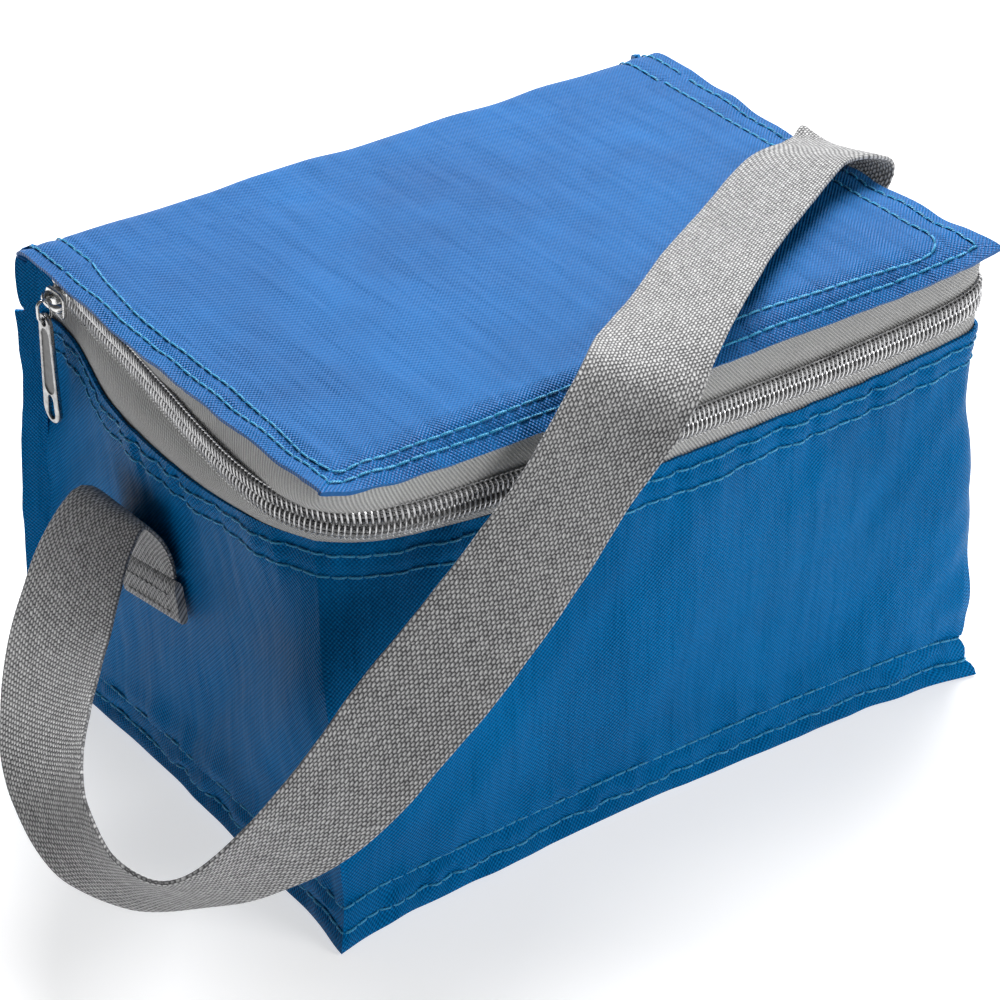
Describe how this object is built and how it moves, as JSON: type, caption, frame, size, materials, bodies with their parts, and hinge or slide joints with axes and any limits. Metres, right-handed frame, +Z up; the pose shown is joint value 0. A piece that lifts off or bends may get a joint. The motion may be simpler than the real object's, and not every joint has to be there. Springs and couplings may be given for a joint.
{
  "type": "insulated cooler bag",
  "caption": "Soft insulated box bag with a zip round three sides of its hinged lid, foil lining and a webbing strap.",
  "frame": {"origin": "middle of the base, on the surface it stands on", "axes": "+X along the long front, -Y out of the front that the strap crosses, +Z up"},
  "size_m": [0.2848, 0.1821, 0.1472],
  "materials": {
    "nylon_blue": "plain-weave coated nylon, soft sheen",
    "foam_white": "closed-cell foam sheet",
    "foil_lining": "wrinkled foil-faced film",
    "zip_tape": "twill woven tape",
    "zip_coil": "silver coil filament",
    "nickel": "bright nickel plate",
    "thread_blue": "twisted polyester thread",
    "webbing_grey": "coarse basket-weave webbing",
    "thread_grey": "twisted polyester thread"
  },
  "bodies": {
    "bag": {"outer_wrap": "nylon_blue", "outer_back": "nylon_blue", "outer_base": "nylon_blue", "base_seam_flange": "nylon_blue", "foam_wrap": "foam_white", "foam_back": "foam_white", "foam_base": "foam_white", "liner_wrap": "foil_lining", "liner_back": "foil_lining", "liner_base": "foil_lining", "zip_tape_body": "zip_tape", "zip_coil_body": "zip_coil", "rim_topstitch": "thread_blue", "base_topstitch": "thread_blue", "strap_end_left": "webbing_grey", "strap_end_right": "webbing_grey", "strap_tack_left": "thread_grey", "strap_tack_right": "thread_grey"},
    "lid": {"outer_lid": "nylon_blue", "foam_lid": "foam_white", "liner_lid": "foil_lining", "zip_tape_lid": "zip_tape", "zip_coil_lid": "zip_coil", "lid_topstitch": "thread_blue", "lid_hinge_fold": "nylon_blue"},
    "strap": {"shoulder_strap": "webbing_grey"},
    "slider": {"zip_slider": "nickel"},
    "ring": {"pull_ring": "nickel"},
    "tab": {"pull_tab": "nickel"}
  },
  "joints": [
    {"name": "strap_swing", "type": "hinge", "parent": "bag", "child": "strap", "pos_m": [0, 0.0195, 0.0645], "axis": [-1, 0, 0], "range_deg": [0, 130], "deforming": ["shoulder_strap"]},
    {"name": "lid_open", "type": "hinge", "parent": "bag", "child": "lid", "pos_m": [0, 0.0735, 0.137], "axis": [-1, 0, 0], "range_deg": [0, 110], "deforming": ["lid_hinge_fold"]},
    {"name": "slider_travel", "type": "slide", "parent": "bag", "child": "slider", "axis": [0, -0.996, -0.0896], "range_m": [0, 0.1]},
    {"name": "ring_swing", "type": "hinge", "parent": "slider", "child": "ring", "pos_m": [-0.1053, 0.059, 0.12799], "axis": [0, 1, 0], "range_deg": [0, 110]},
    {"name": "tab_swing", "type": "hinge", "parent": "ring", "child": "tab", "pos_m": [-0.1062, 0.059, 0.12344], "axis": [1, 0, 0], "range_deg": [-80, 25]}
  ],
  "couplings": [
    {"joint": "lid_open", "follows": "strap_swing", "ratio": 0.846}
  ]
}
